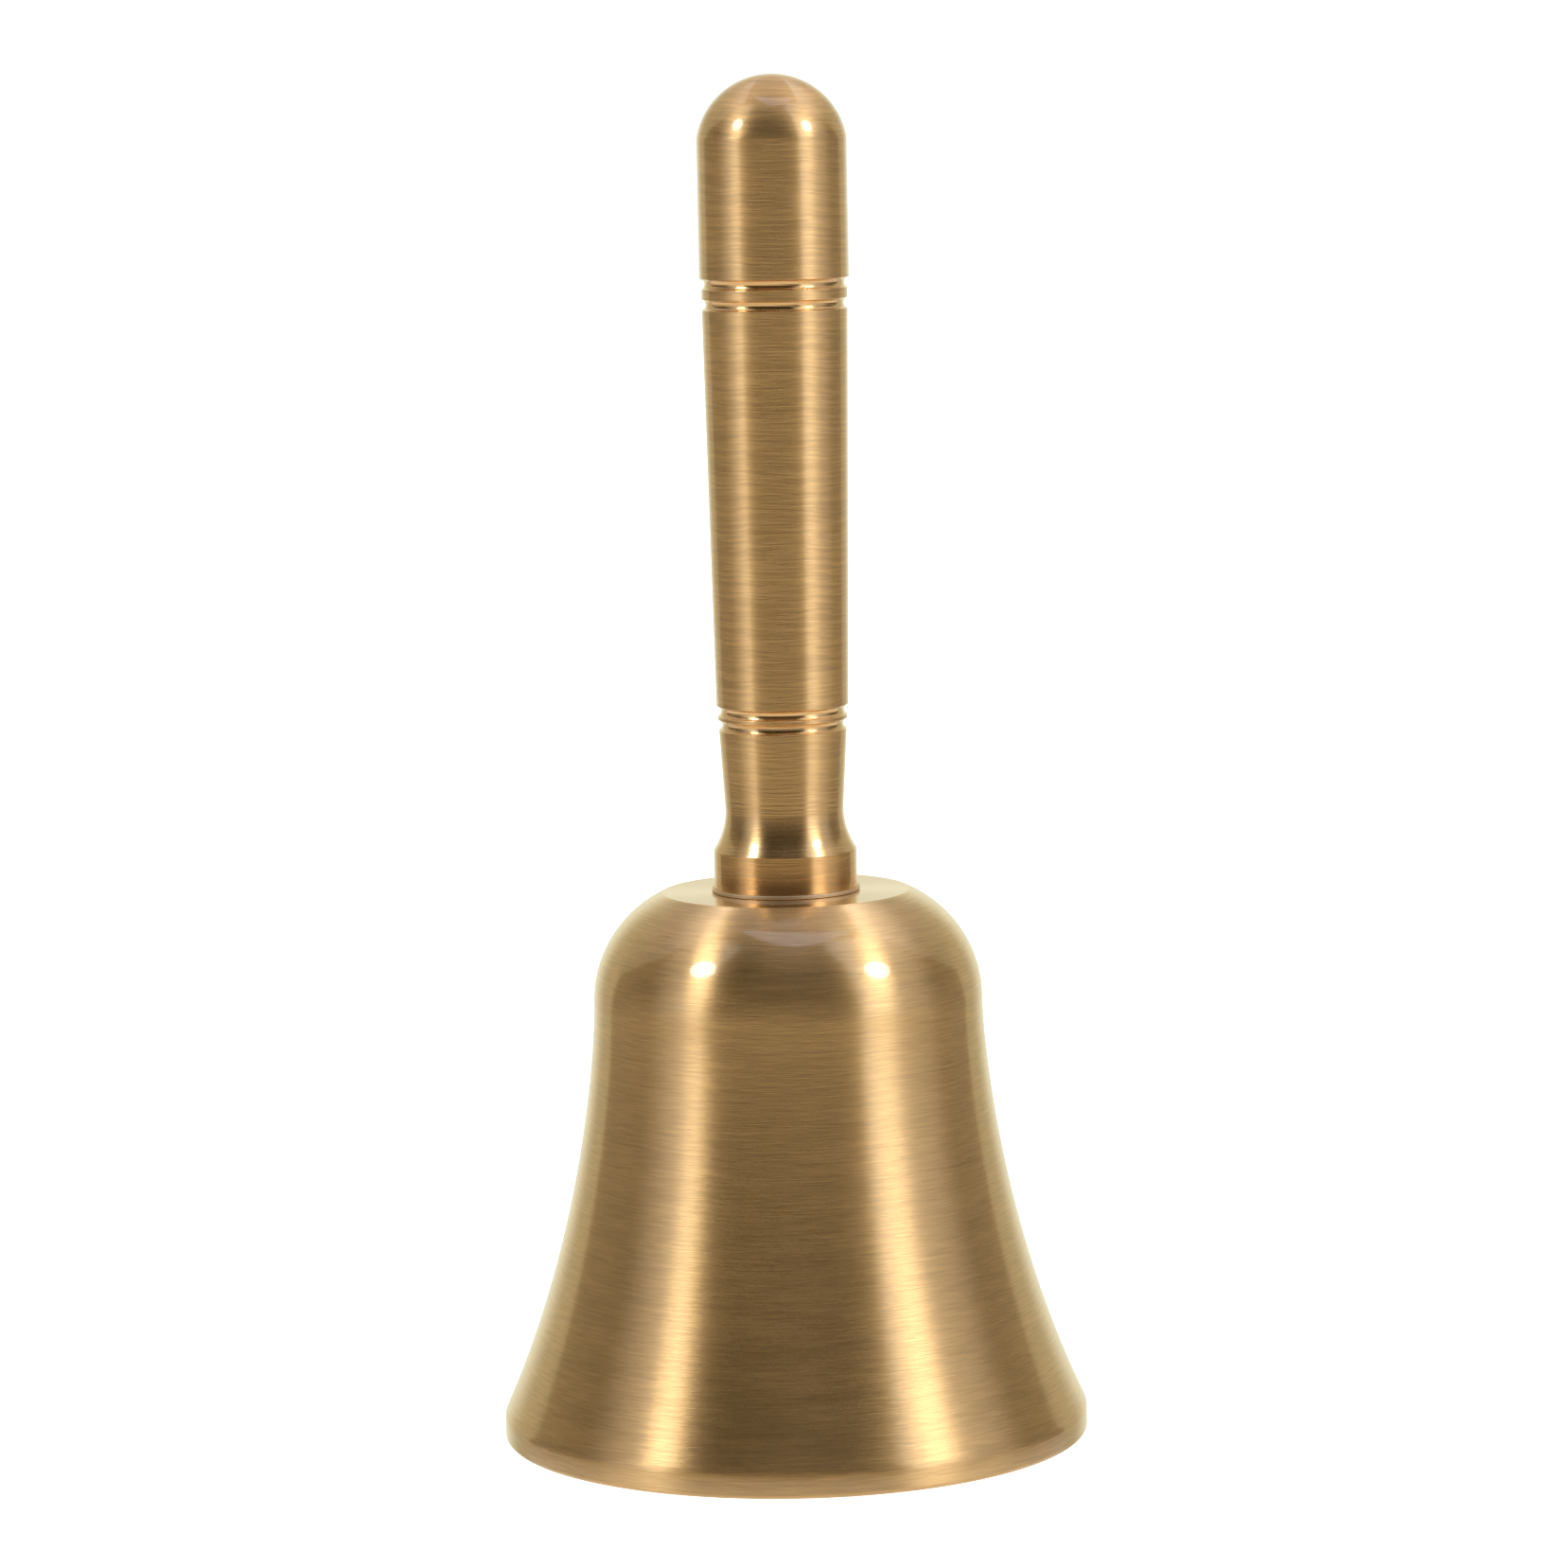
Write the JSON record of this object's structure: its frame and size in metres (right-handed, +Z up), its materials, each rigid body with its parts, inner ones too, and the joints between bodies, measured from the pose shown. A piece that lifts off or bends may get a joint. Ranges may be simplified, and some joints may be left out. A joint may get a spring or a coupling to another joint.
{
  "type": "hand bell",
  "caption": "Turned brass hand bell: a flared bell bolted to a slim grooved handle, with a ball clapper hung on a wire link inside, standing on its mouth.",
  "frame": {"origin": "centre of the bell's mouth, on the plane that the rim stands on", "axes": "+Z up along the bell's axis, from the mouth to the handle's dome; the stud's eye and the clapper's eye lie in the XZ plane"},
  "size_m": [0.0562, 0.0562, 0.13],
  "materials": {
    "bell_brass": "satin, with fine turned lines round the axis",
    "handle_brass": "satin, with fine turned lines round the axis and polished grooves",
    "plated_steel": "bright zinc plate",
    "clapper_brass": "turned and lightly dulled"
  },
  "bodies": {
    "bell": {"bell_shell": "bell_brass", "handle": "handle_brass", "crown_washer": "handle_brass", "hanger_stud": "plated_steel", "flat_washer": "plated_steel", "spring_washer": "plated_steel", "clamp_nut": "plated_steel"},
    "link": {"hanger_link": "plated_steel"},
    "clapper": {"clapper_rod": "clapper_brass", "clapper_ball": "clapper_brass"}
  },
  "joints": [
    {"name": "link_swing", "type": "hinge", "parent": "bell", "child": "link", "pos_m": [0, 0, 0.0366], "axis": [0, 1, 0], "range_deg": [-28, 28]},
    {"name": "clapper_swing", "type": "hinge", "parent": "link", "child": "clapper", "pos_m": [0, 0, 0.0315], "axis": [1, 0, 0], "range_deg": [-12, 12]}
  ]
}
